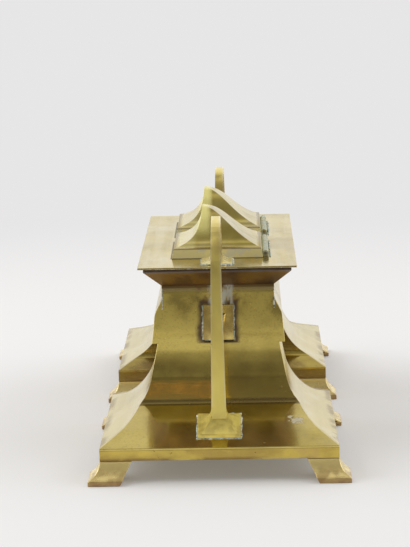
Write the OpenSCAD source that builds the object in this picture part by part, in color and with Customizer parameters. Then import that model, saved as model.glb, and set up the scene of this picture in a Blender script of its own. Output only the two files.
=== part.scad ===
// A brass desk inkstand: two flared base units on bracket feet carry one long neck, a sloped cornice
// and a top plate with two hinged lids over ink pots. An arched handle stands at each end.
// X runs from the user's side (-X) to the back, Y from the right end (-Y) to the left end, Z up.
// The origin lies on the desk, under the middle of the top plate. Lengths are in mm, angles in degrees.

/* [Base units] */
// Length over the aprons, end to end
base_len = 305; // [290:1:320]
// Width over the aprons, front to back
base_w = 142; // [134:1:150]
// Gap between the aprons of the two units
unit_gap = 58; // [50:1:64]
// Thickness of the brass sheet of all walls
sheet_t = 1.2; // [0.8:0.1:1.6]
// Height of the aprons' top edges above the desk
apron_top = 21; // [19:0.5:24]
// Height of the aprons' bottom edges above the desk
apron_bottom = 13.5; // [11:0.5:15]
// Thickness of the apron strips
apron_t = 1.6; // [1.2:0.1:2.2]

/* [Feet] */
// How far the feet splay out beyond the aprons
foot_splay = 7; // [4:0.5:9]
// Width of a foot's sole along each side
sole_w = 19; // [15:0.5:23]
// Thickness of the soles
sole_t = 3; // [2:0.5:4]
// Length of a foot along the apron's bottom edge
foot_top_w = 19.2; // [15:0.2:23]
// Wall thickness of the feet
foot_wall = 2.4; // [1.8:0.1:3.5]

/* [Flanks] */
// Rise of the flanks' ledges
flank_ledge_angle = 25; // [21:0.5:28]
// Lean of the flanks' walls from upright
flank_lean = 11.6; // [9:0.2:14]
// Radius of the cove between a flank's ledge and wall
flank_cove_r = 35; // [26:0.5:37]
// Width of the units at the top, front to back
tier_w = 75; // [71:0.2:77]

/* [Ends] */
// Rise of the ledges at the two ends
end_ledge_angle = 17.6; // [15:0.2:20]
// Radius of the fold between an end's ledge and wall
end_fold_r = 2.5; // [1.5:0.5:6]
// Lean of the end walls from upright
end_wall_lean = 2.4; // [0:0.2:5]
// Distance of the brow, where an end wall turns towards the neck, beyond the top of the neck's end
brow_reach = 28; // [25:0.5:31]
// Height of the brow
brow_z = 60.4; // [58:0.2:62]
// Radius of the bend at the brow
brow_r = 24; // [16:0.5:27]
// Rise of the slope between the brow and the neck
slope_angle = 40; // [37:0.5:44]
// Radius between the slope and the neck's end
neck_cove_r = 26; // [18:0.5:29]

/* [Inner walls] */
// Rise of the ledges beside the gap
inner_ledge_angle = 21; // [16:0.5:26]
// Distance of an inner wall from the apron's edge at the gap
inner_ledge_w = 15.5; // [12:0.5:20]
// Radius between an inner ledge and its wall
inner_cove_r = 4; // [2.5:0.5:7]

/* [Neck] */
// Height of the neck's lower edge, level with the tops of the units
neck_z = 70; // [69.5:0.1:71.5]
// Height of the neck's top, where the cornice starts
neck_top = 103; // [100:0.5:107]
// Width of the neck at its lower edge
neck_foot_w = 82; // [79:0.5:86]
// Width of the neck at its shoulder
shoulder_w = 79.2; // [77:0.2:81]
// Height of the shoulder
shoulder_z = 85.5; // [83:0.5:88]
// Width of the neck at its waist and top
neck_w = 70; // [66:0.5:73]
// Height of the waist
waist_z = 94.5; // [92:0.5:97]
// Radius of the shoulder's bend
shoulder_r = 7; // [4:0.5:9]
// Radius of the waist's bend
waist_r = 11; // [6:0.5:14]
// Length of the neck at its top
neck_len = 154; // [148:1:160]
// Lean of the neck's ends from upright
neck_end_lean = 10.3; // [7:0.1:13]

/* [Cornice and top plate] */
// How far the cornice flares out
cornice_flare = 10.7; // [8:0.1:13]
// Height of the cornice
cornice_h = 13; // [11:0.5:15]
// Height of the cornice's upright fascia
fascia_h = 2.5; // [1.5:0.1:4]
// Thickness of the top plate
plate_t = 1.2; // [0.8:0.1:2]
// Overhang of the top plate beyond the fascia
plate_overhang = 3.3; // [1.5:0.1:5]

/* [Lids] */
// Width and depth of a lid at its lower edge
lid_w = 57.5; // [55:0.5:60]
// Gap between the two lids
lid_gap = 13.8; // [10:0.2:18]
// Height of a lid's rim
lid_rim_h = 6.1; // [5.5:0.1:7.5]
// How far the rim leans in, over its height
lid_rim_lean = 1.3; // [0.5:0.1:2]
// Height of the fin's tip above the top plate
lid_h = 29.2; // [26:0.2:32]
// Width of the fin at its tip
fin_w = 6.4; // [4:0.2:10]
// Distance of the fin from the lid's middle, towards the user
fin_offset = 9.4; // [6:0.2:12]
// Thickness of the fin at its tip
fin_t = 1.4; // [1:0.1:2.5]
// Thickness of a lid's walls
lid_t = 1.2; // [0.8:0.1:1.6]

/* [Hinges] */
// Diameter of the hinge knuckles
knuckle_d = 4.2; // [3.6:0.1:4.6]
// Diameter of the hinge pins
pin_d = 1.8; // [1.4:0.1:2.2]
// How deep the knuckles are let into the lid's rim
knuckle_bite = 0.25; // [0.1:0.05:0.5]
// Length of a hinge
hinge_len = 53; // [46:1:55]
// Gap between neighbouring knuckles
knuckle_gap = 0.3; // [0.2:0.05:0.6]
// Gap between a turning knuckle's bore and the pin
pin_clearance = 0.05; // [0.02:0.01:0.09]
// Gap between the knuckles and the plate under them
knuckle_lift = 0.2; // [0.15:0.05:0.5]

/* [Ink pots and wells] */
// Width of a glass pot
pot_w = 44; // [40:0.5:45]
// How far a pot stands above the top plate
pot_rise = 3.8; // [2:0.2:4.6]
// Corner radius of a pot
pot_corner_r = 4; // [2:0.5:8]
// Diameter of the ink well bored in a pot
pot_bore_d = 33; // [26:0.5:36]
// Thickness of the glass under the well
pot_floor = 5; // [3:0.5:8]
// Thickness of a well's metal
well_t = 0.8; // [0.6:0.1:1]
// Gap round a pot in its well
pot_clearance = 0.6; // [0.3:0.1:1]
// Depth of a well below the top plate's face
well_depth = 37; // [32:0.5:38]
// Width of the flange on which a well hangs
well_flange = 2.2; // [1.5:0.1:2.6]
// Gap between a well and the hole in the top plate
well_clearance = 0.2; // [0.1:0.05:0.4]

/* [Handles] */
// Width of a handle's bar at the top of its arch
bar_top_w = 5.5; // [4.5:0.1:7]
// Width of the bar at its foot on the ledge
bar_foot_w = 8.8; // [7.5:0.1:10]
// Thickness of the bar, seen from the side
bar_t = 4.6; // [3.5:0.1:6]
// Distance of a handle's outer foot from the end of the base
ledge_foot_inset = 21; // [19:0.5:24]
// Width of the handle's foot on the ledge
ledge_foot_w = 26; // [22:0.5:29]
// Height of the handle's foot on the ledge, above the apron
ledge_foot_h = 20; // [18:0.5:24]
// Distance of the handle's inner foot from the middle of the inkstand
plate_foot_y = 76; // [75:0.5:78]
// Width of the handle's foot on the top plate
plate_foot_w = 19; // [14:0.5:20]
// Height of the handle's foot on the top plate
plate_foot_h = 8; // [6:0.5:12]
// Height of a handle above the top plate
handle_h = 32.2; // [30:0.2:36]
// Distance of the arch's highest point from the foot on the top plate
arch_reach = 22; // [18:0.5:26]
// Width of the stay's pad on the end of the neck
pad_w = 18.6; // [15:0.2:22]
// Height of the pad's lower edge above the neck's lower edge
pad_lift = 2; // [1:0.1:3.5]
// Height of the pad
pad_h = 19; // [15:0.5:21]
// Thickness of the pad
pad_t = 1.6; // [1:0.1:2.4]
// Thickness of the stay
stay_t = 4.4; // [3:0.1:5.2]
// Rise of the stay towards the handle
stay_rise = 16; // [11:1:20]

/* [Hidden] */

// Straight pieces that make up each rounded bend, and each swept curve
bend_steps = 8;
curve_steps = 18;
// A length past any edge of the object, for cuts that pass right through
beyond = 400;
// How far an outline runs on past the edge at which it is cut off
run_on = 6;

cornice_z = neck_top;
plate_z = neck_top + cornice_h;
plate_face = plate_z + plate_t;
plate_w = neck_w + 2 * (cornice_flare + plate_overhang);
plate_len = neck_len + 2 * (cornice_flare + plate_overhang);
lid_y = (lid_w + lid_gap) / 2;
hinge_z = plate_face + knuckle_d / 2 + knuckle_lift;
rim_face_x = lid_w / 2 - lid_rim_lean * (hinge_z - plate_face) / lid_rim_h;
hinge_x = rim_face_x + knuckle_d / 2 - knuckle_bite;
knuckles = 5;
knuckle_len = (hinge_len + knuckle_gap) / knuckles - knuckle_gap;
well_w = pot_w + 2 * (pot_clearance + well_t);
brass = "#b8923f";
dark_brass = "#7d5f2c";
pale_brass = "#d8c48a";
corroded = "#9fb59a";

// Unit vector, and the turn from one direction to another by the short way
function unit(v) = v / norm(v);
function turn(from, to) = (to - from + 540) % 360 - 180;

// Where the line through p along dp meets the line through q along dq
function meet(p, dp, q, dq) = p + dp * cross(q - p, dq) / cross(dp, dq);

// The points of an arc of radius r that rounds the corner b of the line a, b, c
function bend(a, b, c, r) =
    let (u = unit(a - b), v = unit(c - b), half = acos(u * v) / 2,
        centre = b + unit(u + v) * r / sin(half),
        first = b + u * r / tan(half) - centre,
        last = b + v * r / tan(half) - centre,
        start = atan2(first[1], first[0]),
        sweep = turn(start, atan2(last[1], last[0])))
    [for (i = [0 : bend_steps]) let (a = start + sweep * i / bend_steps) centre + r * [cos(a), sin(a)]];

// The points of a cubic curve that leaves a towards b and reaches d from c
function curve(a, b, c, d) =
    [for (i = [0 : curve_steps]) let (t = i / curve_steps, s = 1 - t)
        s * s * s * a + 3 * s * s * t * b + 3 * s * t * t * c + t * t * t * d];

// The left-hand normal of a path at point i, long enough to keep a constant wall at its bends
function side_of(path, i) =
    let (before = unit(path[max(i, 1)] - path[max(i, 1) - 1]),
        after = unit(path[min(i + 1, len(path) - 1)] - path[min(i, len(path) - 2)]))
    [-before[1] - after[1], before[0] + after[0]] / (1 + before * after);

// A path moved sideways to its left, a path backwards, and a path mirrored to the other side
function moved(path, d) = [for (i = [0 : len(path) - 1]) path[i] + d * side_of(path, i)];
function backwards(path) = [for (i = [len(path) - 1 : -1 : 0]) path[i]];
function other_side(path) = [for (p = path) [-p[0], p[1]]];

// Extrudes an outline drawn in Y and Z along X, and one drawn in X and Z along Y
module along_x(length) { rotate([90, 0, 90]) linear_extrude(length, center = true) children(); }
module along_y(length) { rotate([90, 0, 0]) linear_extrude(length, center = true) children(); }

// Mirrors to the right or left end, and to the front or back
module at_end(side) { scale([1, side == "left" ? 1 : -1, 1]) children(); }
module at_edge(edge) { scale([edge == "back" ? 1 : -1, 1, 1]) children(); }

// The outlines of the sheets run from the outside in and up, so that their left-hand side is inside
ledge_dir = [-cos(flank_ledge_angle), sin(flank_ledge_angle)];
wall_dir = [-sin(flank_lean), cos(flank_lean)];
flank_edge = [base_w / 2, apron_top];
flank_top = [tier_w / 2, neck_z];
flank_path = concat([flank_edge - run_on * ledge_dir],
    bend(flank_edge, meet(flank_edge, ledge_dir, flank_top, wall_dir), flank_top, flank_cove_r),
    [flank_top + run_on * wall_dir]);

end_edge = [base_len / 2, apron_top];
end_ledge_dir = [-cos(end_ledge_angle), sin(end_ledge_angle)];
brow = [neck_len / 2 + brow_reach, brow_z];
end_wall_dir = [-sin(end_wall_lean), cos(end_wall_lean)];
slope_dir = [-cos(slope_angle), sin(slope_angle)];
neck_end_top = [neck_len / 2, neck_top];
neck_end_dir = [-sin(neck_end_lean), cos(neck_end_lean)];
end_fold = meet(end_edge, end_ledge_dir, brow, end_wall_dir);
neck_corner = meet(brow, slope_dir, neck_end_top, neck_end_dir);
neck_bend = bend(brow, neck_corner, neck_end_top, neck_cove_r);
end_path = concat([end_edge - run_on * end_ledge_dir],
    bend(end_edge, end_fold, brow, end_fold_r),
    bend(end_fold, brow, neck_corner, brow_r),
    neck_bend, [neck_end_top + run_on * neck_end_dir]);

inner_edge = [unit_gap / 2, apron_top];
inner_ledge_dir = [cos(inner_ledge_angle), sin(inner_ledge_angle)];
inner_wall_y = unit_gap / 2 + inner_ledge_w;
inner_top = [inner_wall_y, neck_z];
inner_path = concat([inner_edge - run_on * inner_ledge_dir],
    bend(inner_edge, meet(inner_edge, inner_ledge_dir, inner_top, [0, 1]), inner_top, inner_cove_r),
    [inner_top + [0, run_on]]);

neck_side_foot = [neck_foot_w / 2, neck_z];
shoulder = [shoulder_w / 2, shoulder_z];
waist = [neck_w / 2, waist_z];
neck_side_top = [neck_w / 2, neck_top];
neck_path = concat([neck_side_foot + run_on * unit(neck_side_foot - shoulder)],
    bend(neck_side_foot, shoulder, waist, shoulder_r),
    bend(shoulder, waist, neck_side_top, waist_r), [neck_side_top + [0, run_on]]);

// A sheet that follows a path, with its thickness on the inside
module sheet(path, t = sheet_t) { polygon(concat(path, backwards(moved(path, t)))); }

// What lies under a symmetric path, inset by t
module under(path, t = 0) {
    p = moved(path, t);
    polygon(concat([[p[0][0], -beyond]], p, other_side(backwards(p)), [[-p[0][0], -beyond]]));
}

// What lies beyond the gap, on the unit's side of its inner wall, inset by t
module beside_gap(t = 0) {
    inner = moved(inner_path, -t);
    top = inner[len(inner) - 1];
    polygon(concat([[inner[0][0], -beyond]], inner, [[beyond, top[1]], [beyond, -beyond]]));
}

// What lies inside one unit, between its end and its inner wall, inset by t
module unit_section(t = 0) {
    ends = moved(end_path, t);
    top = ends[len(ends) - 1];
    intersection() {
        polygon(concat([[ends[0][0], -beyond]], ends, [[0, top[1]], [0, -beyond]]));
        beside_gap(t);
        translate([0, -beyond]) square([beyond, beyond + neck_z]);
    }
}

// The rectangle that one unit covers, as a block from z0 up
module unit_block(z0, inset = 0) {
    translate([-base_w / 2 + inset, unit_gap / 2 + inset, z0])
        cube([base_w - 2 * inset, (base_len - unit_gap) / 2 - 2 * inset, beyond]);
}

// The cavetto of a foot, inset by t, with its outline measured out from the apron
foot_rise = apron_bottom - sole_t;
foot_sweep = 2 * atan(foot_splay / foot_rise);
foot_r = foot_rise / sin(foot_sweep);
function cavetto(t) = [for (i = [0 : bend_steps]) let (a = foot_sweep * i / bend_steps)
    [foot_r * (1 - cos(a)) - t, apron_bottom - foot_r * sin(a)]];

module foot_outline() {
    polygon(concat([[-foot_top_w, apron_bottom]], cavetto(0),
        [[foot_splay, 0], [foot_splay - sole_w, 0]]));
}

module foot_hollow() {
    polygon(concat([[-base_w / 4, apron_bottom + run_on], [-foot_wall, apron_bottom + run_on]],
        cavetto(foot_wall), [[-base_w / 4, sole_t]]));
}

// Intersects one outline across the front or back with the same one across the right or left
module corner_of_unit(y, flip) {
    intersection() {
        translate([base_w / 2, 0, 0]) along_y(2 * beyond) children();
        translate([0, y, 0]) scale([1, flip, 1]) along_x(2 * beyond) children();
    }
}

// A bracket foot at a corner of a unit, hollow above its sole
module foot(side, place, edge) {
    flip = place == "outer" ? 1 : -1;
    y = place == "outer" ? base_len / 2 : unit_gap / 2;
    at_end(side) at_edge(edge) color(brass) difference() {
        corner_of_unit(y, flip) foot_outline();
        corner_of_unit(y, flip) foot_hollow();
    }
}

// The apron round a unit, whose top edge fits under the ledges
module apron(side) {
    at_end(side) color(brass) intersection() {
        difference() {
            unit_block(apron_bottom);
            unit_block(apron_bottom - 1, apron_t);
        }
        along_y(2 * beyond) under(flank_path, sheet_t);
        along_x(2 * beyond) unit_section(sheet_t);
    }
}

// The long wall of a unit, folded from ledge to top, between the end panel and the inner wall
module flank(side, edge) {
    at_end(side) at_edge(edge) color(pale_brass) intersection() {
        along_y(2 * beyond) sheet(flank_path);
        along_x(2 * beyond) unit_section(sheet_t);
        unit_block(apron_bottom);
    }
}

// The wall of a unit that faces the gap
module inner_wall(side) {
    at_end(side) color(dark_brass) intersection() {
        along_x(2 * beyond) difference() {
            unit_section();
            beside_gap(sheet_t);
        }
        along_y(2 * beyond) under(flank_path);
        unit_block(apron_bottom);
    }
}

// The end of the inkstand in one sheet: a ledge, a wall that sweeps back in an ogee, and the neck's end.
// It is as wide as the unit below the neck's lower edge, and as wide as the neck above it.
module end_panel(side) {
    at_end(side) color(brass) intersection() {
        along_x(2 * beyond) sheet(end_path);
        along_y(2 * beyond) union() {
            intersection() {
                under(flank_path);
                translate([-beyond / 2, neck_z - beyond]) square(beyond);
            }
            intersection() {
                under(neck_path);
                translate([-beyond / 2, neck_z]) square(beyond);
            }
        }
        translate([-base_w / 2, 0, 0]) cube([base_w, base_len / 2, neck_top]);
    }
}

// The floor that closes the neck over the units and the gap
module neck_floor() {
    color(dark_brass) intersection() {
        translate([-beyond / 2, -beyond / 2, neck_z]) cube([beyond, beyond, sheet_t]);
        along_y(2 * beyond) under(neck_path, sheet_t);
        along_x(2 * beyond) under(end_path, sheet_t);
    }
}

// A long wall of the neck, which overhangs the units
module neck_wall(edge) {
    at_edge(edge) color(brass) intersection() {
        along_y(2 * beyond) sheet(neck_path);
        along_x(2 * beyond) under(end_path, sheet_t);
        translate([0, -beyond / 2, neck_z]) cube([beyond, beyond, neck_top - neck_z]);
    }
}

// A square tube's outline in plan, as a block from z0 to z1
module block(w, z0, z1) { translate([-w / 2, -w / 2, z0]) cube([w, w, z1 - z0]); }

// The sloped cornice, one folded sheet round the neck
function cornice_path(half) =
    let (foot = [half, cornice_z], fold = [half + cornice_flare, plate_z - fascia_h])
    [foot - run_on * unit(fold - foot), fold, [fold[0], plate_z + run_on]];

module cornice_prism(t) {
    intersection() {
        along_y(2 * beyond) under(cornice_path(neck_w / 2), t);
        along_x(2 * beyond) under(cornice_path(neck_len / 2), t);
    }
}

module cornice() {
    color(dark_brass) difference() {
        intersection() {
            cornice_prism(0);
            translate([-beyond / 2, -beyond / 2, cornice_z]) cube([beyond, beyond, cornice_h]);
        }
        cornice_prism(sheet_t);
    }
}

module top_plate() {
    hole = well_w + 2 * well_clearance;
    color(pale_brass) difference() {
        translate([-plate_w / 2, -plate_len / 2, plate_z]) cube([plate_w, plate_len, plate_t]);
        for (side = ["right", "left"]) at_end(side) translate([0, lid_y, 0])
            block(hole, plate_z - run_on, plate_face + run_on);
    }
}

// A well hangs by its flange in a hole of the top plate
module well(side) {
    well_floor = plate_face - well_depth;
    at_end(side) translate([0, lid_y, 0]) color(pale_brass) difference() {
        union() {
            block(well_w, well_floor, plate_face + well_t);
            block(well_w + 2 * well_flange, plate_face, plate_face + well_t);
        }
        block(well_w - 2 * well_t, well_floor + well_t, plate_face + run_on);
    }
}

// A square glass pot with a round well for the ink
module ink_pot(side) {
    z0 = plate_face - well_depth + well_t;
    h = plate_face + pot_rise - z0;
    flat_w = pot_w - 2 * pot_corner_r;
    at_end(side) translate([0, lid_y, z0]) color("#dfe8e6") difference() {
        union() {
            translate([-pot_w / 2, -flat_w / 2, 0]) cube([pot_w, flat_w, h]);
            translate([-flat_w / 2, -pot_w / 2, 0]) cube([flat_w, pot_w, h]);
            for (x = [-1, 1], y = [-1, 1]) translate([x * flat_w / 2, y * flat_w / 2, 0])
                cylinder(r = pot_corner_r, h = h, $fn = 48);
        }
        translate([0, 0, pot_floor]) cylinder(d = pot_bore_d, h = h, $fn = 96);
    }
}

// The lid's outline from its front, seen along Y: a cove up to the fin, and a bell down to the back
rim_top = [lid_w / 2 - lid_rim_lean, lid_rim_h];
rim_below = [lid_w / 2 + run_on * lid_rim_lean / lid_rim_h, -run_on];
cove_pull = [10.5, 2.7];
fin_pull = [-1.1, -16];
crown_pull = [12, -1.8];
back_pull = [-16.5, 5.2];
fin_front = [-fin_offset, lid_h];
fin_back = [fin_t - fin_offset, lid_h];
rim_front = [-rim_top[0], rim_top[1]];
lid_side_view = concat([[-rim_below[0], rim_below[1]]],
    curve(rim_front, rim_front + cove_pull, fin_front + fin_pull, fin_front),
    curve(fin_back, fin_back + crown_pull, rim_top + back_pull, rim_top), [rim_below]);

// The same seen along X: a bell on both sides of the fin
bell_foot_pull = [-13.5, 3.7];
bell_top_pull = [16.8, -7.3];
fin_side = [fin_w / 2, lid_h];
lid_half_view = concat([rim_below],
    curve(rim_top, rim_top + bell_foot_pull, fin_side + bell_top_pull, fin_side));

module lid_side() { polygon(lid_side_view); }
module lid_front() { polygon(concat(lid_half_view, other_side(backwards(lid_half_view)))); }

// What lies inside an outline, at least t away from its sides and top
module hollow(t) {
    intersection_for(step = [[t, 0], [-t, 0], [0, -t]]) translate(step) children();
}

// The turned barrels of a hinge, from the first one, every second one
module barrels(first, d, longer = 0) {
    for (i = [first : 2 : knuckles - 1])
        translate([hinge_x, -hinge_len / 2 + i * (knuckle_len + knuckle_gap) - longer, hinge_z])
            rotate([-90, 0, 0]) cylinder(d = d, h = knuckle_len + 2 * longer, $fn = 48);
}

// A bore right through a hinge
module hinge_bore(d) {
    translate([hinge_x, 0, hinge_z]) rotate([90, 0, 0])
        cylinder(d = d, h = 2 * hinge_len, center = true, $fn = 48);
}

// A raised lid of thin sheet, open below, with a groove for the barrels along its back
module lid(side) {
    at_end(side) translate([0, lid_y, 0]) color(brass) difference() {
        translate([0, 0, plate_face]) difference() {
            intersection() {
                along_y(2 * lid_w) lid_side();
                along_x(2 * lid_w) lid_front();
                block(2 * lid_w, 0, 2 * lid_h);
            }
            intersection() {
                along_y(2 * lid_w) hollow(lid_t) lid_side();
                along_x(2 * lid_w) hollow(lid_t) lid_front();
            }
        }
        barrels(0, knuckle_d + 2 * knuckle_gap, knuckle_gap);
        barrels(1, knuckle_d);
    }
}

module lid_knuckles(side) {
    at_end(side) translate([0, lid_y, 0]) color(corroded) difference() {
        barrels(1, knuckle_d);
        hinge_bore(pin_d + 2 * pin_clearance);
    }
}

// The fixed knuckles, each on a saddle that is soldered to the top plate
module plate_knuckles(side) {
    saddle_x = lid_w / 2 + 1.5 * knuckle_gap;
    at_end(side) translate([0, lid_y, 0]) color(corroded) difference() {
        union() {
            barrels(0, knuckle_d);
            for (i = [0 : 2 : knuckles - 1])
                translate([saddle_x, -hinge_len / 2 + i * (knuckle_len + knuckle_gap), plate_face])
                    cube([hinge_x + knuckle_d / 2 - saddle_x, knuckle_len, hinge_z - plate_face]);
        }
        hinge_bore(pin_d);
    }
}

module hinge_pin(side) {
    at_end(side) translate([hinge_x, lid_y, hinge_z]) color("#6f6a58")
        rotate([90, 0, 0]) cylinder(d = pin_d, h = hinge_len, center = true, $fn = 48);
}

// The centre line of a handle's bar. It starts inside the flare of its foot, leans out a little above
// the ledge, turns over in an arch and comes down steeply to the plate.
ledge_foot_y = base_len / 2 - ledge_foot_inset;
ledge_foot_base = meet(end_edge, end_ledge_dir, [ledge_foot_y, 0], [0, 1]);
ledge_normal = [sin(end_ledge_angle), cos(end_ledge_angle)];
ledge_flare_h = ledge_foot_h - (ledge_foot_base[1] - apron_top);
bar_start = ledge_foot_base + ledge_flare_h * ledge_normal;
arch_top = [plate_foot_y + arch_reach, plate_face + handle_h - bar_t / 2];
bar_end = [plate_foot_y, plate_face + plate_foot_h];
limb_pull = [3, 80];
arch_pull = [44, 0];
inner_arch_pull = [15, 0];
inner_limb_pull = [0, 15];
inner_limb = curve(arch_top, arch_top - inner_arch_pull, bar_end + inner_limb_pull, bar_end);
bar_root = bar_start - run_on * unit(limb_pull);
bar_line = concat([bar_root], curve(bar_start, bar_start + limb_pull, arch_top + arch_pull, arch_top),
    [for (i = [1 : curve_steps]) inner_limb[i]]);

module bar_side() {
    polygon(concat(moved(bar_line, bar_t / 2), backwards(moved(bar_line, -bar_t / 2))));
}

// The bar seen from the end: it tapers from the ledge to the top
module bar_front() {
    top = plate_face + handle_h;
    polygon([[-bar_foot_w / 2, 0], [bar_foot_w / 2, 0], [bar_foot_w / 2, bar_start[1]],
        [bar_top_w / 2, top], [-bar_top_w / 2, top], [-bar_foot_w / 2, bar_start[1]]]);
}

module bar() {
    intersection() {
        along_x(4 * bar_foot_w) bar_side();
        along_y(2 * beyond) bar_front();
    }
}

// A square foot that flares out from a bar: w and l wide at its base, top_w and top_l at its top
foot_edge = 0.8;
function flare(base, top, h) =
    let (half = base / 2, neck = top / 2)
    curve([half, foot_edge], [neck + 0.35 * (half - neck), foot_edge + 0.1 * h], [neck, 0.5 * h], [neck, h]);

module flare_side(base, top, h) {
    half = concat([[base / 2, 0]], flare(base, top, h));
    polygon(concat(half, other_side(backwards(half))));
}

module trumpet(w, l, top_w, top_l, h) {
    intersection() {
        along_y(2 * l) flare_side(w, top_w, h);
        along_x(2 * w) flare_side(l, top_l, h);
    }
}

module handle(side) {
    at_end(side) color(brass) difference() {
        union() {
            bar();
            translate([0, ledge_foot_base[0], ledge_foot_base[1]]) rotate([-end_ledge_angle, 0, 0])
                trumpet(ledge_foot_w, ledge_foot_w, bar_foot_w, bar_t, ledge_flare_h);
            translate([0, plate_foot_y, plate_face])
                trumpet(plate_foot_w, plate_foot_w, bar_top_w, bar_t, plate_foot_h);
        }
        along_x(2 * beyond) under(end_path);
    }
}

// The stay runs from its pad, which is bent to the end of the neck, up to the middle of the bar
pad_z = neck_z + pad_lift;
stay_base = neck_bend[bend_steps / 2];
stay_dir = [cos(stay_rise), sin(stay_rise)];
stay_end = [for (i = [0 : curve_steps - 1])
    let (a = bar_line[i], b = bar_line[i + 1], p = meet(stay_base, stay_dir, a, b - a))
    if ((p - a) * (p - b) <= 0) p][0];
stay_foot_h = 9;
stay_flare = 2.2;

module handle_stay(side) {
    at_end(side) color(dark_brass) difference() {
        union() {
            intersection() {
                along_x(pad_w) sheet(end_path, -pad_t);
                translate([-pad_w / 2, 0, pad_z]) cube([pad_w, brow[0], pad_h]);
            }
            translate([0, stay_base[0], stay_base[1]]) rotate([stay_rise - 90, 0, 0]) {
                trumpet(stay_flare * stay_t, stay_flare * stay_t, stay_t, stay_t, stay_foot_h);
                translate([-stay_t / 2, -stay_t / 2, 0]) cube([stay_t, stay_t, norm(stay_end - stay_base)]);
            }
        }
        along_x(2 * beyond) under(end_path);
        bar();
    }
}

for (side = ["right", "left"]) {
    for (place = ["outer", "inner"], edge = ["front", "back"])
        foot(side, place, edge);
    apron(side);
    for (edge = ["front", "back"])
        flank(side, edge);
    inner_wall(side);
    end_panel(side);
    well(side);
    ink_pot(side);
    lid(side);
    lid_knuckles(side);
    plate_knuckles(side);
    hinge_pin(side);
    handle(side);
    handle_stay(side);
}
neck_floor();
for (edge = ["front", "back"])
    neck_wall(edge);
cornice();
top_plate();
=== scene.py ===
"""A polished brass desk inkstand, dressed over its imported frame. Lengths are in metres."""
import math
import bpy
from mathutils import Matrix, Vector, noise
from mathutils.bvhtree import BVHTree


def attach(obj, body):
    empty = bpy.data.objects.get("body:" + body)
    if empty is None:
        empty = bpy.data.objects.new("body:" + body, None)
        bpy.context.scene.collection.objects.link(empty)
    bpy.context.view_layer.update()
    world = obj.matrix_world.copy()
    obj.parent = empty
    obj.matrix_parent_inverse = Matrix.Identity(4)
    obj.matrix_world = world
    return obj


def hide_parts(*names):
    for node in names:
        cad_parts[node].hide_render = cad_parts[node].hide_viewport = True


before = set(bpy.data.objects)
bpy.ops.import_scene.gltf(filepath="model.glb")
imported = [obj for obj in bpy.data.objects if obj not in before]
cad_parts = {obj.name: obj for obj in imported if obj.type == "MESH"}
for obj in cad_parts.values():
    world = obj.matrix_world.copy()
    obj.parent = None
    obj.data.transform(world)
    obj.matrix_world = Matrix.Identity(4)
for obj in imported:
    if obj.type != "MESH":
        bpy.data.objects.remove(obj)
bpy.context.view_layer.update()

# Camera. It stands in front of the right end, a little above the lids, and looks along the object.
# The lens length is for a 36 mm frame along the picture's long side.
camera_data = bpy.data.cameras.new("camera")
camera_data.lens = 123.63
camera_data.sensor_width = 36.0
camera_data.sensor_fit = "AUTO"
camera = bpy.data.objects.new("camera", camera_data)
bpy.context.scene.collection.objects.link(camera)
camera.location = (0.0184, -1.2176, 0.3498)
yaw, pitch, roll = -0.0229, 0.2069, -0.0228
ahead = Vector((math.sin(yaw) * math.cos(pitch), math.cos(yaw) * math.cos(pitch), -math.sin(pitch)))
level = Vector((math.cos(yaw), -math.sin(yaw), 0.0))
upright = level.cross(ahead)
camera_x = math.cos(roll) * level + math.sin(roll) * upright
camera_y = math.cos(roll) * upright - math.sin(roll) * level
turn = camera.rotation_euler.to_matrix()
for row in range(3):
    turn[row][0], turn[row][1], turn[row][2] = camera_x[row], camera_y[row], -ahead[row]
camera.rotation_euler = turn.to_euler()
bpy.context.scene.camera = camera
bpy.context.scene.view_settings.view_transform = "Standard"


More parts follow.
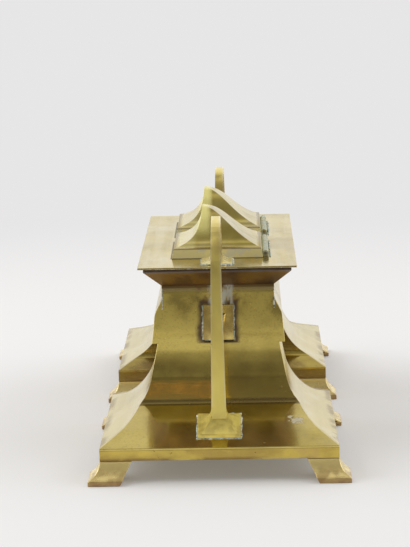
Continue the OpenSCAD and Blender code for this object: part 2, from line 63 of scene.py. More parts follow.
# Studio. The inkstand stands on a pale floor in a pale room, with a soft lamp at each side. What the
# brass mirrors on the camera's side is darker: a dim room, and a dark floor with one warm band across
# its left half.
class Shade:
    """A value in a node tree. Arithmetic on values adds Math nodes; node() adds any other kind."""

    def __init__(self, tree, socket=None):
        self.tree, self.socket = tree, socket

    def node(self, kind, settings=None, sockets=None, out=0):
        made = self.tree.nodes.new(kind)
        for name, value in (settings or {}).items():
            if name == "stops":
                ramp = made.color_ramp
                while len(ramp.elements) < len(value):
                    ramp.elements.new(0.5)
                for element, (place, shade) in zip(ramp.elements, value):
                    element.position, element.color = place, (*shade, 1)
            else:
                setattr(made, name, value)
        for key, value in (sockets or {}).items():
            if isinstance(value, Shade):
                self.tree.links.new(value.socket, made.inputs[key])
            else:
                made.inputs[key].default_value = value
        return Shade(self.tree, made.outputs[out]) if made.outputs else made

    def math(self, operation, first, second=0.0):
        return self.node("ShaderNodeMath", {"operation": operation}, {0: first, 1: second})

    def __add__(self, other): return self.math("ADD", self, other)
    def __radd__(self, other): return self.math("ADD", other, self)
    def __sub__(self, other): return self.math("SUBTRACT", self, other)
    def __rsub__(self, other): return self.math("SUBTRACT", other, self)
    def __mul__(self, other): return self.math("MULTIPLY", self, other)
    def __rmul__(self, other): return self.math("MULTIPLY", other, self)
    def __neg__(self): return self.math("MULTIPLY", self, -1.0)

    def step(self, low, high):
        """0 below low, 1 above high, and smooth between them."""
        return self.node("ShaderNodeMapRange", {"interpolation_type": "SMOOTHSTEP"},
                         {"Value": self, "From Min": low, "From Max": high})

    def near(self, centre, reach, blur):
        """1 within reach of the centre, falling to 0 over the blur outside it."""
        return 1.0 - (self - centre).size().step(reach, reach + blur)

    def blend(self, first, second):
        """The first colour where this value is 0, and the second where it is 1."""
        return self.node("ShaderNodeMix", {"data_type": "RGBA"}, {0: self, 6: first, 7: second}, 2)

    def size(self): return self.math("ABSOLUTE", self)

    def more(self, other): return self.math("MAXIMUM", self, other)

    def axes(self, source=3):
        """X, Y and Z of the object's own coordinates as three values, or of a direction."""
        spot = self.node("ShaderNodeTexCoord", out=source)
        split = self.node("ShaderNodeSeparateXYZ", sockets={0: spot})
        return [Shade(self.tree, split.socket.node.outputs[i]) for i in range(3)]

    def cloud(self, scale, detail=3.0, roughness=0.55, stretch=(1, 1, 1), shift=(0, 0, 0)):
        """Soft noise, with about one patch per 1/scale metres."""
        spot = self.node("ShaderNodeMapping", sockets={
            0: self.node("ShaderNodeTexCoord", out=3), 1: shift, 3: stretch})
        return self.node("ShaderNodeTexNoise", sockets={
            "Vector": spot, "Scale": scale, "Detail": detail, "Roughness": roughness})


backdrop = (0.80, 0.792, 0.796, 1.0)
pale_floor = (0.92, 0.912, 0.915, 1.0)
dark_floor = (0.20, 0.188, 0.165, 1)
warm_band = (0.66, 0.36, 0.17, 1)
floor_glow = 0.17
pale_until, pale_fade = 0.25, 0.03
band_y, band_half, band_blur = -0.345, 0.012, 0.004
lamp_size, lamp_y = 1.6, 0.1

room = bpy.data.worlds.new("room")
bpy.context.scene.world = room
room.use_nodes = True
room.node_tree.nodes.clear()
air = Shade(room.node_tree)
_, away, height = air.axes(0)
turned = away * -0.5 + 0.5 + height.step(0.35, 0.95) * away.step(0.0, 0.3) * 0.34
dimming = ((0.0, (0.93, 0.93, 0.95)), (0.44, (0.86, 0.86, 0.87)), (0.55, (0.64, 0.63, 0.61)),
           (0.66, (0.40, 0.39, 0.36)), (0.84, (0.32, 0.31, 0.28)), (0.95, (0.235, 0.225, 0.20)))
around = air.node("ShaderNodeValToRGB", {"stops": dimming}, {0: turned})
shown = air.node("ShaderNodeLightPath", out=0).blend(around, backdrop)
glow = air.node("ShaderNodeBackground", sockets={0: shown, 1: 1.0})
air.node("ShaderNodeOutputWorld", sockets={0: glow})

bpy.ops.mesh.primitive_plane_add(size=8.0, location=(0, 0, 0))
floor = bpy.context.object
floor.name = "floor"
floor_material = bpy.data.materials.new("floor")
floor_material.use_nodes = True
floor_material.node_tree.nodes.clear()
floor.data.materials.append(floor_material)
ground = Shade(floor_material.node_tree)
across, along, _ = ground.axes()
to_camera = ground.node("ShaderNodeLightPath", out=0)
to_mirror = ground.node("ShaderNodeLightPath", out=3)
even = ground.node("ShaderNodeEmission", sockets={0: backdrop, 1: 1.0})
matt = ground.node("ShaderNodeBsdfDiffuse", sockets={0: pale_floor})
lit = ground.node("ShaderNodeMixShader", sockets={0: floor_glow, 1: matt, 2: even})
band = along.near(band_y, band_half, band_blur) * (1.0 - across.step(-0.002, 0.004))
dark = ground.node("ShaderNodeBsdfDiffuse", sockets={0: band.blend(dark_floor, warm_band)})
past_pale = (-along).step(pale_until, pale_until + pale_fade)
near = ground.node("ShaderNodeMixShader", sockets={0: past_pale * to_mirror, 1: lit, 2: dark})
far = (across * across + along * along).step(0.09, 0.60)
whole = ground.node("ShaderNodeMixShader", sockets={0: far * to_camera, 1: near, 2: even})
ground.node("ShaderNodeOutputMaterial", sockets={0: whole})

for name, spot, power in (("window", (-1.7, lamp_y, 1.3), 22), ("fill", (1.7, lamp_y, 1.1), 14)):
    lamp = bpy.data.lights.new(name, "AREA")
    lamp.energy, lamp.size = power, lamp_size
    holder = bpy.data.objects.new(name, lamp)
    holder.location = spot
    towards = Vector((0, 0, 0.05)) - Vector(spot)
    holder.rotation_euler = towards.to_track_quat("-Z", "Y").to_euler()
    bpy.context.scene.collection.objects.link(holder)


# Flanks. The long walls of the two base units are rolled brass sheet, folded from a flat ledge
# through a cove into a wall, cut to the slopes of the ends and soldered along both mitres. They
# were polished by hand along their length and have dulled since.
SIDES = ("right", "left")
EDGES = ("front", "back")
BRASS = (0.70, 0.555, 0.150, 1)
OLIVE = (0.42, 0.325, 0.085, 1)
BROWN = (0.185, 0.105, 0.040, 1)
HAZE = (0.80, 0.73, 0.50, 1)
apron_top, neck_foot = 0.021, 0.070


def new_material(name):
    made = bpy.data.materials.new(name)
    made.use_nodes = True
    made.node_tree.nodes.clear()
    return made, Shade(made.node_tree)


def brass(name, gloss=0.17, bright=BRASS, dull=OLIVE, clouds=0.5, spots=0.55, grain=(1, 1, 1),
          waves=0.10, stains=None):
    """Polished brass gone dull in clouds, with spots and fine scratches along the grain.
    stains(shade) gives (mask, colour, how metallic, roughness) for each layer, lowest first."""
    made, shade = new_material(name)
    patch = shade.cloud(26, 4).step(0.36, 0.70)
    fine = shade.cloud(170, 3, stretch=grain).step(0.35, 0.75)
    tone = (patch * clouds + fine * 0.22).blend(bright, dull)
    spot = shade.cloud(480, 2).step(0.66, 0.74)
    spot = spot * shade.cloud(45, 2, shift=(3, 1, 2)).step(0.48, 0.62)
    tone = (spot * spots).blend(tone, BROWN)
    rough = gloss + patch * 0.07 + fine * 0.05 + spot * 0.25
    metal = 1.0 - spot * 0.3
    for mask, stain, stain_metal, stain_rough in (stains(shade) if stains else []):
        tone = mask.blend(tone, stain)
        rough = rough + mask * (stain_rough - rough)
        metal = metal + mask * (stain_metal - metal)
    dents = shade.cloud(24, 2, 0.4)
    scratch = shade.cloud(900, 2, 0.6, stretch=grain)
    waved = shade.node("ShaderNodeBump", sockets={
        "Strength": waves, "Distance": 0.004, "Height": dents})
    scratched = shade.node("ShaderNodeBump", sockets={
        "Strength": 0.12, "Distance": 0.00012, "Height": scratch, "Normal": waved})
    shader = shade.node("ShaderNodeBsdfPrincipled", sockets={
        "Base Color": tone, "Roughness": rough, "Metallic": metal, "Normal": scratched})
    shade.node("ShaderNodeOutputMaterial", sockets={0: shader})
    return made


def copy_of(node):
    """A merged copy of a CAD node with its flat faces whole again, selected and active."""
    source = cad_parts[node]
    bpy.ops.object.select_all(action="DESELECT")
    piece = bpy.data.objects.new(node + "_brass", source.data.copy())
    bpy.context.scene.collection.objects.link(piece)
    piece.data.materials.clear()
    piece.select_set(True)
    bpy.context.view_layer.objects.active = piece
    bpy.ops.object.mode_set(mode="EDIT")
    bpy.ops.mesh.select_all(action="SELECT")
    bpy.ops.mesh.remove_doubles(threshold=0.000002)
    bpy.ops.mesh.dissolve_limited(angle_limit=math.radians(0.6))
    bpy.ops.object.mode_set(mode="OBJECT")
    return piece


def soften(piece, width, segments=2, sharp=28):
    """Breaks the sharp edges of a piece and shades its bends smooth."""
    edge = piece.modifiers.new("edge", "BEVEL")
    edge.width, edge.segments = width, segments
    edge.limit_method, edge.angle_limit = "ANGLE", math.radians(sharp)
    edge.miter_outer = "MITER_ARC"
    bpy.context.view_layer.objects.active = piece
    bpy.ops.object.modifier_apply(modifier="edge")
    bpy.ops.object.shade_smooth_by_angle(angle=math.radians(40))
    even = piece.modifiers.new("even", "WEIGHTED_NORMAL")
    even.keep_sharp = True
    bpy.ops.object.modifier_apply(modifier="even")


def dress(node, material, body="root", width=0.00025, segments=2, sharp=28):
    """Puts a softened copy of a CAD node, in its material, in the node's place."""
    piece = copy_of(node)
    soften(piece, width, segments, sharp)
    piece.data.materials.append(material)
    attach(piece, body)
    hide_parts(node)
    return piece


def flank_stains(shade):
    height = shade.axes()[2]
    fold = shade.cloud(60, 3, shift=(5, 2, 1)).step(0.40, 0.62)
    worn = shade.cloud(34, 3, shift=(1, 7, 3)).step(0.50, 0.66)
    low = 1.0 - height.step(0.034, 0.048)
    return [(low * (worn * 0.30 + 0.35), HAZE, 0.95, 0.24),
            (height.step(0.046, 0.056) * 0.55, (0.88, 0.72, 0.15, 1), 0.35, 0.26),
            (fold * height.step(0.050, 0.069) * 0.35, BROWN, 0.9, 0.30),
            (fold * height.near(apron_top, 0.0008, 0.0016) * 0.5, BROWN, 0.9, 0.35)]


flank_brass = brass("flank_brass", gloss=0.13, grain=(1, 0.07, 1), stains=flank_stains)
for side in SIDES:
    for edge in EDGES:
        dress(f"{side}_{edge}_flank", flank_brass)


# Inner walls. The two units face each other across the gap with folded walls like the flanks. Nobody
# polishes here, so the sheet has gone brown and dull from the bottom up.
def gap_stains(shade):
    height = shade.axes()[2]
    low = 1.0 - height.step(0.022, 0.060)
    drift = shade.cloud(38, 4, shift=(2, 2, 6)).step(0.36, 0.64)
    return [(drift * (low * 0.45 + 0.30), BROWN, 0.9, 0.34)]


inner_brass = brass("inner_brass", gloss=0.12, bright=(0.60, 0.46, 0.125, 1), grain=(0.07, 1, 1),
                    stains=gap_stains)
for side in SIDES:
    dress(f"{side}_inner_wall", inner_brass)


# End panels. Each end is one sheet: a flat ledge, a sharp fold, and a wall that sweeps back in an
# ogee to the neck's end. Soldering the handle's pad to it left a purple and black heat mark round
# the pad, and a grey bloom between the pad and the cornice.
pad_half, pad_low, pad_high = 0.0093, 0.0720, 0.0910
fold_y, fold_z = 0.1060, 0.0362
SMOKE = (0.085, 0.052, 0.050, 1)
SCORCH = (0.16, 0.075, 0.045, 1)


def end_stains(shade):
    across, along, height = shade.axes()
    wobble = shade.cloud(120, 3, shift=(4, 4, 4)) * 0.006 - 0.003
    beside = across.size() - pad_half
    over = (height - (pad_low + pad_high) / 2).size() - (pad_high - pad_low) / 2
    apart = beside.more(over) + wobble
    on_neck = height.step(neck_foot - 0.0005, neck_foot + 0.0005)
    halo = apart.step(-0.0004, 0.0008) * (1.0 - apart.step(0.0012, 0.0050)) * on_neck
    flow = across.near(0.0018, 0.0060, 0.0030) * height.step(0.0885, 0.0925)
    bloom = shade.cloud(330, 4, stretch=(1, 1, 0.35), shift=(1, 1, 9)).step(0.41, 0.55) * flow
    above_pad = across.near(0.0, 0.011, 0.004) * height.step(0.090, 0.096)
    red = shade.cloud(150, 3, shift=(8, 1, 1)).step(0.46, 0.60) * above_pad
    under = height.step(0.0985, 0.1015)
    drift = shade.cloud(42, 4, shift=(6, 1, 2)).step(0.38, 0.66)
    neck_dull = height.step(0.078, 0.086) * (1.0 - height.step(0.094, 0.100))
    wall_dull = height.step(0.030, 0.038) * (1.0 - height.step(0.058, 0.066))
    worn = across.near(0.046, 0.0035, 0.002) * along.size().near(0.1255, 0.0030, 0.002)
    ledge = 1.0 - height.step(0.0345, 0.0352)
    specks = shade.cloud(800, 4, shift=(3, 3, 1)).step(0.50, 0.68)
    specks = specks * (1.0 - height.step(0.096, 0.100))
    chips = worn * shade.cloud(330, 3).step(0.46, 0.56)
    streak = shade.cloud(52, 3, stretch=(0.25, 1, 1), shift=(2, 9, 4)).step(0.56, 0.66)
    # painted shade: the fold is painted dark brown, which damps the bright reflection along its bend
    in_fold = height.near(fold_z, 0.0014, 0.0012) * along.size().near(fold_y, 0.0022, 0.0015)
    polish = height.near(0.1003, 0.0006, 0.0010)
    satin = height.step(0.062, 0.074) * (1.0 - height.step(0.0975, 0.0995))
    satin = satin * (0.66 - drift * 0.46)
    return [(drift * neck_dull * 0.55 + drift * wall_dull * 0.35, BROWN, 0.95, 0.26),
            (satin, (0.82, 0.66, 0.17, 1), 0.35, 0.28),
            (streak * wall_dull * 0.15, (0.30, 0.13, 0.045, 1), 0.95, 0.24),
            (specks * 0.22, (0.24, 0.16, 0.055, 1), 0.9, 0.28),
            (under * 0.75, SCORCH, 0.85, 0.34),
            (polish * 0.55, (0.62, 0.50, 0.24, 1), 0.45, 0.30),
            (ledge * (drift * 0.25 + 0.10), (0.66, 0.55, 0.27, 1), 0.8, 0.16),
            (in_fold * 0.70, (0.16, 0.11, 0.045, 1), 0.8, 0.32),
            (halo * 0.90, SMOKE, 0.55, 0.42),
            (red * 0.60, (0.20, 0.085, 0.060, 1), 0.8, 0.34),
            (bloom * 0.85, (0.62, 0.64, 0.60, 1), 0.1, 0.55),
            (chips, (0.74, 0.68, 0.50, 1), 0.6, 0.45)]


end_brass = brass("end_brass", gloss=0.065, clouds=0.7, grain=(0.07, 1, 1), waves=0.14,
                  stains=end_stains)
for side in SIDES:
    dress(f"{side}_end_panel", end_brass)


# Aprons. A strip of thicker sheet runs round each unit, bent at the corners and soldered under the
# ledges. It is what hands and dusters touch, so it is bright, with brown left along its lower edge.
def apron_stains(shade):
    _, along, height = shade.axes()
    edge = 1.0 - height.step(0.0135, 0.0158)
    grime_and_lid_shadow = shade.cloud(90, 4, stretch=(0.4, 0.4, 1), shift=(3, 5, 2)).step(0.42, 0.60)
    pink = shade.cloud(55, 3, shift=(9, 9, 1)).step(0.54, 0.66)
    # painted shade: the sides of the aprons that face the gap are painted dark brown
    painted_gap_shade = 1.0 - along.size().step(0.0288, 0.0296)
    return [(painted_gap_shade * (grime_and_lid_shadow * 0.3 + 0.6), (0.150, 0.098, 0.036, 1), 0.95, 0.30),
            (grime_and_lid_shadow * 0.45, (0.36, 0.235, 0.070, 1), 0.95, 0.26),
            (along.step(0.0, 0.01) * 0.30, (0.30, 0.20, 0.070, 1), 0.95, 0.28),
            (edge * grime_and_lid_shadow * 0.7, BROWN, 0.9, 0.36),
            (pink * 0.30, (0.52, 0.34, 0.17, 1), 0.95, 0.24)]


apron_brass = brass("apron_brass", gloss=0.13, bright=(0.62, 0.465, 0.105, 1), stains=apron_stains)
for side in SIDES:
    dress(f"{side}_apron", apron_brass, width=0.0002)


# Feet. Eight cast bracket feet flare out at the corners of the units. They are soldered to the
# aprons, and their soles have gone reddish brown.
def foot_stains(shade):
    height = shade.axes()[2]
    sole = 1.0 - height.step(0.0022, 0.0036)
    low = 1.0 - height.step(0.003, 0.011)
    grime_and_lid_shadow = shade.cloud(140, 4, shift=(3, 5, 7)).step(0.40, 0.60)
    seam = height.near(0.0134, 0.0002, 0.0005)
    satin = height.near(0.008, 0.02, 0.001)  # all of the foot
    return [(satin * 0.55, (0.98, 0.79, 0.32, 1), 0.2, 0.30),
            (grime_and_lid_shadow * low * 0.55, (0.30, 0.17, 0.065, 1), 0.9, 0.36),
            (sole * 0.75, (0.30, 0.165, 0.075, 1), 0.85, 0.42),
            (seam * 0.7, BROWN, 0.8, 0.4)]


foot_brass = brass("foot_brass", gloss=0.14, bright=(0.94, 0.76, 0.33, 1), dull=(0.80, 0.62, 0.26, 1),
                   stains=foot_stains)
for side in SIDES:
    for place in ("outer", "inner"):
        for edge in EDGES:
            dress(f"{side}_{place}_{edge}_foot", foot_brass, width=0.0005, segments=3)


# Neck. Two long walls and a floor join the units into one inkstand. The walls are rolled sheet with
# a soft shoulder, soldered to the end panels.
def neck_stains(shade):
    _, along, height = shade.axes()
    under = height.step(0.0975, 0.1020)
    corner = along.size().step(0.0735, 0.0765) * height.step(0.084, 0.092)
    drift = shade.cloud(40, 4, shift=(6, 3, 3)).step(0.42, 0.66)
    lime = shade.cloud(300, 4, shift=(1, 3, 9)).step(0.42, 0.58) * corner
    return [(drift * 0.40, BROWN, 0.95, 0.28),
            (under * 0.7, SCORCH, 0.85, 0.34),
            (lime * 0.8, (0.56, 0.58, 0.55, 1), 0.2, 0.55)]


neck_brass = brass("neck_brass", gloss=0.10, grain=(1, 0.07, 1), stains=neck_stains)
for edge in EDGES:
    dress(f"neck_{edge}", neck_brass)
dress("neck_floor", inner_brass)


# Cornice. A sloped band of sheet carries the top plate. The heat of soldering has left it brown and
# sooty, warmer low down towards the front. Its upper band is painted black as shadow under the plate,
# and the grey line along its fold is part worn edge and part painted highlight.
cornice_foot, cornice_fold = 0.1030, 0.1135


def cornice_stains(shade):
    across, _, height = shade.axes()
    # painted highlight, partly a worn edge: a grey line along the fold
    fold = height.near(cornice_fold, 0.0004, 0.0008)
    root = 1.0 - height.step(cornice_foot, cornice_foot + 0.0012)
    # painted shadow: the band above the fold, under the plate's overhang, is painted near black
    painted_fascia_shadow = height.step(cornice_fold + 0.0001, cornice_fold + 0.0007)
    low_front = (1.0 - across.step(-0.015, 0.02)) * (1.0 - height.step(0.106, 0.112))
    warm = shade.cloud(34, 4, stretch=(1, 1, 0.5), shift=(2, 3, 3)).step(0.40, 0.62) * low_front
    ash = shade.cloud(150, 4, shift=(7, 7, 2)).step(0.45, 0.65)
    soot = shade.cloud(75, 4, stretch=(1, 1, 0.6), shift=(4, 1, 8)).step(0.46, 0.64)
    return [(warm * 0.65, (0.50, 0.34, 0.145, 1), 0.95, 0.28),
            (painted_fascia_shadow * 0.75, (0.035, 0.024, 0.022, 1), 0.6, 0.42),
            (soot * 0.55, (0.085, 0.052, 0.048, 1), 0.8, 0.36),
            (fold * (ash * 0.5 + 0.4), (0.22, 0.20, 0.21, 1), 0.6, 0.40),
            (root * ash * 0.8, (0.30, 0.12, 0.10, 1), 0.7, 0.40)]


cornice_brass = brass("cornice_brass", gloss=0.27, bright=(0.37, 0.255, 0.175, 1),
                      dull=(0.185, 0.120, 0.088, 1), clouds=0.7, stains=cornice_stains)
dress("cornice", cornice_brass)


# Top plate. A flat plate overhangs the cornice. It is brushed along its length. Its edges are nicked,
# with a painted highlight along them, and a painted shadow makes a dark line round the lids.
lid_half, lid_y, plate_top = 0.02875, 0.03565, 0.1171


def plate_stains(shade):
    across, along, height = shade.axes()
    off_lid = across.size().more((along.size() - lid_y).size()) - lid_half
    # painted shadow: a dark line round each lid, where the lid sits on the plate
    grime_and_lid_shadow = (1.0 - off_lid.step(0.0003, 0.0012)) * height.step(plate_top - 0.0001, plate_top)
    brushed = shade.cloud(150, 3, stretch=(1, 0.10, 1), shift=(1, 2, 3)).step(0.42, 0.62)
    film = shade.cloud(20, 4, shift=(5, 5, 5)).step(0.36, 0.62)
    shadow = shade.cloud(30, 3, stretch=(1, 0.5, 1), shift=(2, 8, 8)).step(0.50, 0.68)
    shadow = shadow * across.step(-0.02, 0.04)
    rim = 1.0 - height.step(0.1162, 0.1170)
    # the pale nicks on the plate's edge are also a painted highlight along that edge
    nicks_and_edge_highlight = shade.cloud(260, 3, shift=(2, 2, 2)).step(0.48, 0.58)
    return [(film * 0.45 + brushed * 0.25, HAZE, 1.0, 0.24),
            (shadow * 0.45, (0.46, 0.36, 0.16, 1), 1.0, 0.30),
            (rim * nicks_and_edge_highlight * 0.8, (0.86, 0.82, 0.66, 1), 0.9, 0.30),
            (grime_and_lid_shadow * 0.85, (0.05, 0.04, 0.028, 1), 0.4, 0.5)]


plate_brass = brass("plate_brass", gloss=0.15, grain=(1, 0.06, 1), waves=0.05, spots=0.35,
                    stains=plate_stains)
dress("top_plate", plate_brass, width=0.00035)


# Wells. Under each lid a square box of thin brass hangs by its flange in a hole of the plate and
# holds the glass pot. Spilt ink has blackened its corners.
def well_stains(shade):
    ink = shade.cloud(110, 4, shift=(4, 6, 1)).step(0.46, 0.60)
    return [(ink * 0.75, (0.020, 0.020, 0.035, 1), 0.3, 0.35)]


well_brass = brass("well_brass", gloss=0.28, bright=(0.52, 0.42, 0.17, 1), stains=well_stains)
for side in SIDES:
    dress(f"{side}_well", well_brass, width=0.00015)


# Ink pots. Square pots of clear pressed glass with a round bore for the ink stand loose in the
# wells. A little dried ink has stayed at the bottom of the bore.
clear_glass, old_ink = (0.90, 0.96, 0.94, 1), (0.012, 0.016, 0.060, 1)
glass, shade = new_material("pot_glass")
across, along, height = shade.axes()
beside = along.size() - lid_y
from_axis = across * across + beside * beside
dried = (1.0 - from_axis.step(0.00025, 0.00032)) * (1.0 - height.step(0.087, 0.096))
swirl = shade.cloud(70, 3)
stained = (dried * (swirl.step(0.30, 0.62) * 0.5 + 0.45)).blend(clear_glass, old_ink)
rippled = shade.node("ShaderNodeBump", sockets={"Strength": 0.15, "Distance": 0.002, "Height": swirl})
shader = shade.node("ShaderNodeBsdfPrincipled", sockets={
    "Base Color": stained, "Roughness": 0.02 + swirl * 0.05, "IOR": 1.51,
    "Transmission Weight": 1.0, "Normal": rippled})
shade.node("ShaderNodeOutputMaterial", sockets={0: shader})
for side in SIDES:
    dress(f"{side}_ink_pot", glass, width=0.0009, segments=4, sharp=50)


# Lids. Each lid is one piece of sheet beaten to a cove in front and a bell at the back and sides,
# drawn up to a thin fin that serves as the finger grip. Solder shows in patches along its rim.
def lid_stains(shade):
    across, _, height = shade.axes()
    rim = 1.0 - height.step(0.1226, 0.1236)
    # painted shadow: the lowest strip of the rim, where the lid meets the plate, is painted near
    # black
    foot = 1.0 - height.step(0.1172, 0.1178)
    patches = shade.cloud(130, 4, stretch=(1, 1, 0.6), shift=(5, 1, 4)).step(0.50, 0.58)
    edge = height.near(0.1233, 0.0002, 0.0007)
    film = shade.cloud(48, 4, shift=(2, 6, 6)).step(0.44, 0.66)
    dusk = shade.cloud(36, 3, shift=(9, 2, 5)).step(0.46, 0.66) * height.step(0.122, 0.130)
    # painted highlight: the front cove is painted paler, and the face beside the fin paler and
    # brighter still
    front = 1.0 - across.step(-0.0160, -0.0120)
    by_fin = (1.0 - (across + 0.0075).step(0.0, 0.006)) * across.near(-0.0110, 0.0060, 0.002)
    grip_and_fin_highlight = by_fin * height.step(0.127, 0.136)
    return [(dusk * 0.35, (0.34, 0.25, 0.080, 1), 0.95, 0.26),
            (film * 0.30, HAZE, 1.0, 0.24),
            (front * 0.30, (0.97, 0.88, 0.44, 1), 0.30, 0.30),
            (grip_and_fin_highlight * 0.85, (0.98, 0.90, 0.34, 1), 0.10, 0.34),
            (rim * 0.90, (0.92, 0.83, 0.44, 1), 0.10, 0.38),
            (rim * patches * 0.85, (0.80, 0.77, 0.60, 1), 0.3, 0.42),
            (edge * 0.55, BROWN, 0.8, 0.4),
            (foot * 0.85, (0.06, 0.045, 0.03, 1), 0.5, 0.45)]


lid_brass = brass("lid_brass", gloss=0.11, bright=(0.71, 0.58, 0.165, 1), grain=(1, 1, 0.15),
                  stains=lid_stains)
lid_lining = brass("lid_lining", gloss=0.34, bright=(0.46, 0.34, 0.12, 1), clouds=0.8)
for side in SIDES:
    lid = dress(f"{side}_lid", lid_brass, f"{side}_lid", width=0.0003)
    lid.data.materials.append(lid_lining)
    hollow = Vector((-0.004, -lid_y if side == "right" else lid_y, 0.118))
    for face in lid.data.polygons:
        if face.normal.dot(hollow - face.center) > 0.0005:  # it faces the hollow, so it is lining
            face.material_index = 1


# Hinges. Five rolled barrels on a steel pin hold each lid: two on the lid, three on saddles soldered
# to the plate. Verdigris has grown all over the barrels and has turned them pale green and grey.
def hinge_stains(shade):
    crust = shade.cloud(420, 4, shift=(1, 1, 1)).step(0.40, 0.56)
    lime = shade.cloud(620, 3, shift=(2, 8, 1)).step(0.46, 0.58)
    return [(crust * 0.9, (0.38, 0.47, 0.38, 1), 0.1, 0.75),
            (lime * 0.7, (0.66, 0.69, 0.62, 1), 0.05, 0.8)]


hinge_brass = brass("hinge_brass", gloss=0.32, bright=(0.52, 0.44, 0.17, 1), stains=hinge_stains)
pin_steel = brass("pin_steel", gloss=0.36, bright=(0.34, 0.32, 0.28, 1), dull=(0.16, 0.13, 0.10, 1))
for side in SIDES:
    dress(f"{side}_plate_knuckles", hinge_brass, width=0.0003)
    dress(f"{side}_lid_knuckles", hinge_brass, f"{side}_lid", width=0.0003)
    dress(f"{side}_hinge_pin", pin_steel, width=0.0002)


# Handles. A handle is one forged bar that tapers upwards and turns over in an arch, with a square
# flared foot at each end. Its edges are filed off, and hands have kept it bright.
TIRED = (0.46, 0.34, 0.12, 1)


def bar_stains(shade):
    across, _, height = shade.axes()
    grip_and_fin_highlight = height.step(0.116, 0.130) * (1.0 - height.step(0.146, 0.149))
    tired = shade.cloud(70, 3, stretch=(1, 1, 0.4), shift=(2, 2, 7)).step(0.34, 0.60)
    foot = 1.0 - height.step(0.033, 0.040)
    grime_and_lid_shadow = shade.cloud(180, 4, shift=(5, 3, 1)).step(0.40, 0.60)
    # painted highlight, partly rubbed brass: pale bands along the filed edges of the bar
    half_bar = 0.0044 - (height - 0.042) * 0.0165
    edge = (across.size() - half_bar).step(-0.0011, -0.0003) * height.step(0.040, 0.044)
    satin = 0.92 - height.step(0.062, 0.108) * 0.50
    return [(satin, (0.99, 0.83, 0.20, 1), 0.08, 0.34),
            (edge * (0.75 - tired * 0.35), (0.98, 0.91, 0.60, 1), 0.45, 0.24),
            (grip_and_fin_highlight * (tired * 0.40 + 0.20), TIRED, 0.95, 0.28),
            (tired * 0.18, (0.60, 0.44, 0.15, 1), 0.95, 0.30),
            (foot * (grime_and_lid_shadow * 0.30 + 0.10), TIRED, 0.9, 0.30)]


bar_brass = brass("bar_brass", gloss=0.24, bright=(0.92, 0.75, 0.23, 1), dull=(0.72, 0.56, 0.16, 1),
                  clouds=0.3, grain=(1, 1, 0.07), stains=bar_stains)
for side in SIDES:
    dress(f"{side}_handle", bar_brass, width=0.0009)


# Stays. A rod runs from the bar of each handle to a thin square pad, which is bent to the neck's end
# and soldered to it. Both are browner than the bar, because no hand rubs them.
def stay_stains(shade):
    tired = shade.cloud(60, 4, shift=(2, 2, 2)).step(0.36, 0.60)
    return [(tired * 0.6, (0.34, 0.22, 0.075, 1), 0.9, 0.32)]


stay_brass = brass("stay_brass", gloss=0.16, bright=(0.94, 0.76, 0.28, 1), dull=(0.66, 0.50, 0.16, 1),
                   stains=stay_stains)
for side in SIDES:
    dress(f"{side}_handle_stay", stay_brass, width=0.0003)


# Solder. Grey solder with white and green salts stands in lumpy beads round the pads of the stays,
# round both feet of each handle, along the hinges and in the corners of the neck under the cornice.
solder, shade = new_material("old_solder")
chalk = shade.cloud(900, 3, shift=(3, 1, 4)).step(0.42, 0.56)
green = shade.cloud(260, 3, shift=(8, 2, 4)).step(0.48, 0.60)
soot = shade.cloud(340, 3, shift=(1, 6, 2)).step(0.56, 0.62)
tone = chalk.blend((0.40, 0.42, 0.40, 1), (0.78, 0.82, 0.78, 1))
tone = (green * 0.75).blend(tone, (0.36, 0.50, 0.42, 1))
tone = (soot * 0.85).blend(tone, (0.060, 0.055, 0.050, 1))
pitted = shade.node("ShaderNodeBump", sockets={
    "Strength": 0.5, "Distance": 0.0002, "Height": shade.cloud(1500, 3)})
shader = shade.node("ShaderNodeBsdfPrincipled", sockets={
    "Base Color": tone, "Roughness": 0.42 + chalk * 0.25, "Metallic": 0.30 - chalk * 0.25,
    "Normal": pitted})
shade.node("ShaderNodeOutputMaterial", sockets={0: shader})


def skin_of(node):
    """The faces of a CAD node, for finding where a straight line meets them."""
    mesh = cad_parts[node].data
    points = [vertex.co for vertex in mesh.vertices]
    return BVHTree.FromPolygons(points, [list(face.vertices) for face in mesh.polygons])


def bead(name, line, thick):
    """A lumpy bead of solder along a line of points, thicker and thinner by turns."""
    path = bpy.data.curves.new(name, "CURVE")
    path.dimensions, path.use_fill_caps = "3D", True
    path.bevel_depth, path.bevel_resolution = thick, 3
    spline = path.splines.new("POLY")
    spline.points.add(len(line) - 1)
    for point, place in zip(spline.points, line):
        point.co = (*place, 1)
        lumpy = 0.85 + 1.1 * noise.noise(place * 420) + 0.5 * noise.noise(place * 1300)
        point.radius = max(0.35, lumpy)
    piece = bpy.data.objects.new(name, path)
    bpy.context.scene.collection.objects.link(piece)
    bpy.ops.object.select_all(action="DESELECT")
    piece.select_set(True)
    bpy.context.view_layer.objects.active = piece
    bpy.ops.object.convert(target="MESH")
    piece = bpy.context.object
    cast = piece.modifiers.new("cast", "REMESH")
    cast.mode, cast.voxel_size = "VOXEL", thick * 0.30
    lumps = bpy.data.textures.new(name, "CLOUDS")
    lumps.noise_scale = thick * 1.6
    swell = piece.modifiers.new("swell", "DISPLACE")
    swell.texture, swell.texture_coords = lumps, "GLOBAL"
    swell.strength, swell.mid_level = thick * 0.9, 0.5
    for modifier in ("cast", "swell"):
        bpy.ops.object.modifier_apply(modifier=modifier)
    bpy.ops.object.shade_smooth()
    piece.data.materials.clear()
    piece.data.materials.append(solder)
    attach(piece, "root")


def run_of(corners, pace):
    """Points at an even pace along a line of corners."""
    line = []
    for first, last in zip(corners, corners[1:]):
        count = max(1, round((last - first).length / pace))
        line += [first.lerp(last, i / count) for i in range(count)]
    return line + [corners[-1]]


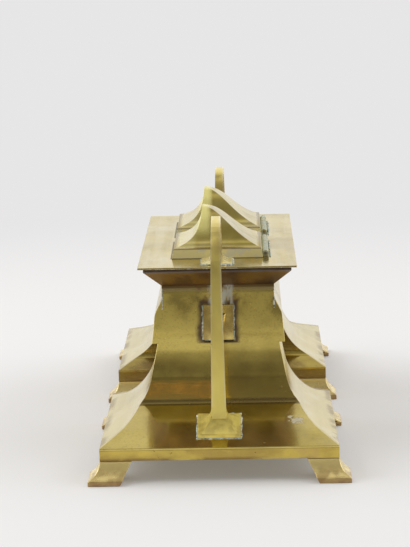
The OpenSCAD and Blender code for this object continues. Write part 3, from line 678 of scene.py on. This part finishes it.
def ring(half, middle_y, squeeze=1.0):
    """The corners of a square foot's outline, and the first one again."""
    return [Vector((x * half, middle_y + y * half * squeeze, 0))
            for x, y in ((-1, -1), (1, -1), (1, 1), (-1, 1), (-1, -1))]


def let_down(line, skin, start_z):
    """The line let down onto a skin from a height above it."""
    return [skin.ray_cast(Vector((p.x, p.y, start_z)), Vector((0, 0, -1)))[0] for p in line]


def pushed_in(line, skin, out):
    """The line pushed along Y onto a skin from beyond the end that out points to."""
    return [skin.ray_cast(Vector((p.x, out * 0.4, p.z)), Vector((0, -out, 0)))[0] for p in line]


above_ledge, above_plate = 0.060, 0.2
pad_rim, rim_low, rim_high = pad_half + 0.0003, 0.0717, 0.0905
ledge_foot_half, ledge_foot_y, ledge_foot_squeeze = 0.0132, 0.1315, 0.953
plate_foot_half, plate_foot_y = 0.0097, 0.076
hinge_x, hinge_half = 0.0330, 0.0262
corner_x, corner_low, corner_pace, corner_steps = 0.0347, 0.0885, 0.0006, 22

plate_skin = skin_of("top_plate")
for side in SIDES:
    out = -1 if side == "right" else 1
    end_skin = skin_of(f"{side}_end_panel")

    pad_edge = run_of([Vector((-pad_rim, 0, rim_high)), Vector((-pad_rim, 0, rim_low)),
                       Vector((pad_rim, 0, rim_low)), Vector((pad_rim, 0, rim_high))], 0.0007)
    bead(f"{side}_pad_solder", pushed_in(pad_edge, end_skin, out), 0.00055)

    foot_edge = run_of(ring(ledge_foot_half, out * ledge_foot_y, ledge_foot_squeeze), 0.0007)
    bead(f"{side}_ledge_foot_solder", let_down(foot_edge, end_skin, above_ledge), 0.00060)

    foot_edge = run_of(ring(plate_foot_half, out * plate_foot_y), 0.0007)
    bead(f"{side}_plate_foot_solder", let_down(foot_edge, plate_skin, above_plate), 0.00070)

    hinge_edge = run_of([Vector((hinge_x, out * lid_y - hinge_half, 0)),
                         Vector((hinge_x, out * lid_y + hinge_half, 0))], 0.0006)
    bead(f"{side}_hinge_solder", let_down(hinge_edge, plate_skin, above_plate), 0.00055)

    for edge, x in zip(EDGES, (-corner_x, corner_x)):
        corner = [Vector((x, 0, corner_low + i * corner_pace)) for i in range(corner_steps)]
        bead(f"{side}_{edge}_corner_solder", pushed_in(corner, end_skin, out), 0.00045)
